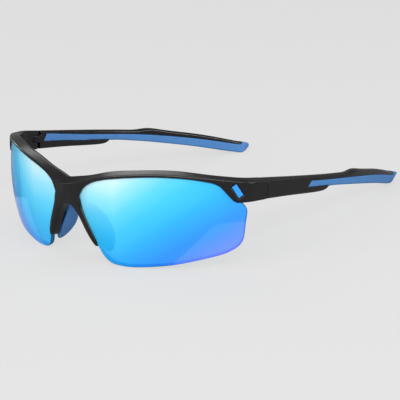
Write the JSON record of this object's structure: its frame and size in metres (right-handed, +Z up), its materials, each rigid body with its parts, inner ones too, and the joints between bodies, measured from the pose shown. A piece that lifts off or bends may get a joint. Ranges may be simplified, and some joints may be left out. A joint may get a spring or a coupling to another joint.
{
  "type": "sport sunglasses",
  "caption": "Wraparound sport sunglasses with a half-rim front, curved mirror lenses, soft nose pads and folding temples with rubber grips.",
  "frame": {"origin": "on the table, under the middle of the bounding box, with the pair standing open on its lens feet and temple tips", "axes": "+X to the wearer's left, +Y from the bridge back to the temple tips, +Z up"},
  "size_m": [0.14, 0.15, 0.04],
  "materials": {
    "frame": "satin black moulded nylon",
    "lens": "polycarbonate with a blue mirror coat",
    "temple": "satin black moulded nylon",
    "grip": "matt blue soft rubber",
    "nose_pad": "matt blue soft rubber",
    "inlay": "glossy blue",
    "screw": "turned",
    "insert": "turned"
  },
  "bodies": {
    "front": {"front_frame": "frame", "lens_left": "lens", "lens_right": "lens", "nose_pad_left": "nose_pad", "nose_pad_right": "nose_pad", "accent_inlay_left": "inlay", "accent_inlay_right": "inlay", "hinge_screw_left": "screw", "hinge_screw_right": "screw", "hinge_insert_left": "insert", "hinge_insert_right": "insert"},
    "left_temple": {"temple_left": "temple", "temple_grip_left": "grip"},
    "right_temple": {"temple_right": "temple", "temple_grip_right": "grip"}
  },
  "joints": [
    {"name": "left_temple_fold", "type": "hinge", "parent": "front", "child": "left_temple", "pos_m": [0.0665, -0.03356, 0.03009], "axis": [0, 0.2416, 0.9704], "range_deg": [0, 90]},
    {"name": "right_temple_fold", "type": "hinge", "parent": "front", "child": "right_temple", "pos_m": [-0.0665, -0.03356, 0.03009], "axis": [0, -0.2416, -0.9704], "range_deg": [0, 76]}
  ]
}
